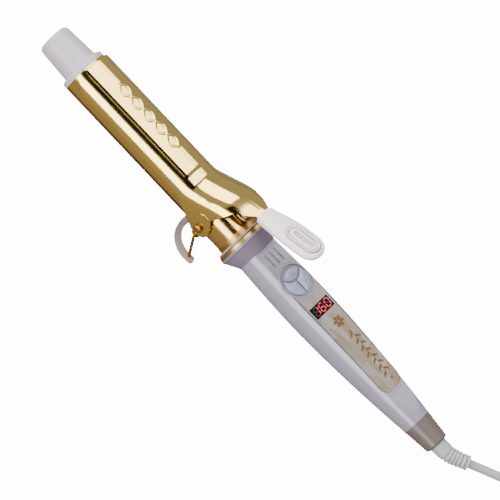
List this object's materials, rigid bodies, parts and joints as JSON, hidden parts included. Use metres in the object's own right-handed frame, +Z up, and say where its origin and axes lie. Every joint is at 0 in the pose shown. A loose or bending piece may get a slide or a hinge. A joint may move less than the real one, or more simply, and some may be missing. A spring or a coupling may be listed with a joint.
{
  "type": "curling iron",
  "caption": "Curling iron: gold barrel with a sprung clip and thumb lever, folding wire rest, pearl handle with buttons and digital display, and a mains cord folded into a tied hank.",
  "frame": {"origin": "on the table, under the middle of the arc of the rest's foot", "axes": "+X from the rest towards the cord, level with the table; +Z up; the iron leans back 7.4 degrees, tip up"},
  "size_m": [0.5685, 0.0556, 0.0762],
  "materials": {
    "tip_plastic": "satin heat-resistant plastic, pale pinkish white",
    "gilt_barrel": "polished champagne gold plating",
    "gilt_clip": "satin champagne gold plating",
    "gilt_satin": "satin gold plating",
    "aluminium": "mill finish",
    "polyimide": "amber film",
    "ceramic": "fired ceramic",
    "bright_metal": "nickel plated",
    "black_plastic": "moulded",
    "wire_insulation": "glass-fibre and silicone sleeving",
    "pearl_plastic": "pearl lavender lacquer",
    "spring_steel": "spring wire",
    "lever_plastic": "warm white, low gloss",
    "foot_plastic": "beige grey moulding",
    "panel_plastic": "beige grey label with tan patches",
    "gilt_foil": "hot-stamped foil",
    "display_black": "smoked window with pink-red digits",
    "button_plastic": "pale lavender blue, low gloss",
    "board_green": "solder mask",
    "capacitor_blue": "sleeved can",
    "taupe_plastic": "taupe moulding",
    "cord_grey": "light grey vinyl",
    "tie_black": "hook-and-loop strap"
  },
  "bodies": {
    "body": {"cool_tip": "tip_plastic", "barrel": "gilt_barrel", "heater_upper": "aluminium", "heater_lower": "aluminium", "insulation_sleeve": "polyimide", "ceramic_element": "ceramic", "thermal_fuse": "bright_metal", "temperature_sensor": "black_plastic", "heater_leads": "wire_insulation", "collar": "gilt_satin", "guard_rim": "pearl_plastic", "trim_ring": "gilt_satin", "heat_guard": "pearl_plastic", "hinge_bracket": "gilt_satin", "hinge_pin_left": "gilt_satin", "hinge_pin_right": "gilt_satin", "handle_upper": "pearl_plastic", "handle_lower": "pearl_plastic", "handle_screws": "bright_metal", "control_panel": "panel_plastic", "panel_foil": "gilt_foil", "display_window": "display_black", "display_module": "black_plastic", "circuit_board": "board_green", "board_screws": "bright_metal", "key_switches": "black_plastic", "power_module": "black_plastic", "capacitor": "capacitor_blue", "switching_transistor": "black_plastic", "cord_clamp": "black_plastic", "supply_wires": "wire_insulation", "end_cap": "taupe_plastic", "cord_guard": "cord_grey", "cord_lead": "cord_grey", "cord_hank": "cord_grey", "cord_tie": "tie_black", "cord_tail": "cord_grey", "plug_body": "cord_grey", "plug_blades": "bright_metal"},
    "clip": {"clip_plate": "gilt_clip", "clip_spring": "spring_steel", "thumb_lever": "lever_plastic", "lever_rivets": "bright_metal"},
    "rest": {"rest_leg_left": "gilt_satin", "rest_leg_right": "gilt_satin", "rest_foot": "foot_plastic"},
    "power_key": {"power_button": "button_plastic"},
    "plus_key": {"plus_button": "button_plastic"},
    "minus_key": {"minus_button": "button_plastic"}
  },
  "joints": [
    {"name": "clip_hinge", "type": "hinge", "parent": "body", "child": "clip", "pos_m": [0.01473, 0, 0.03327], "axis": [0, 1, 0], "range_deg": [0, 18], "stiffness_Nm_per_rad": 0.5, "springref_deg": -20.05, "deforming": ["clip_spring"]},
    {"name": "rest_hinge", "type": "hinge", "parent": "body", "child": "rest", "pos_m": [0.01459, 0, 0.02442], "axis": [0, 1, 0], "range_deg": [-26, 38]},
    {"name": "power_press", "type": "slide", "parent": "body", "child": "power_key", "axis": [-0.1296, 0, -0.9916], "range_m": [0, 0.0006], "stiffness_N_per_m": 600},
    {"name": "plus_press", "type": "slide", "parent": "body", "child": "plus_key", "axis": [-0.1296, 0, -0.9916], "range_m": [0, 0.0006], "stiffness_N_per_m": 600},
    {"name": "minus_press", "type": "slide", "parent": "body", "child": "minus_key", "axis": [-0.1296, 0, -0.9916], "range_m": [0, 0.0006], "stiffness_N_per_m": 600}
  ]
}
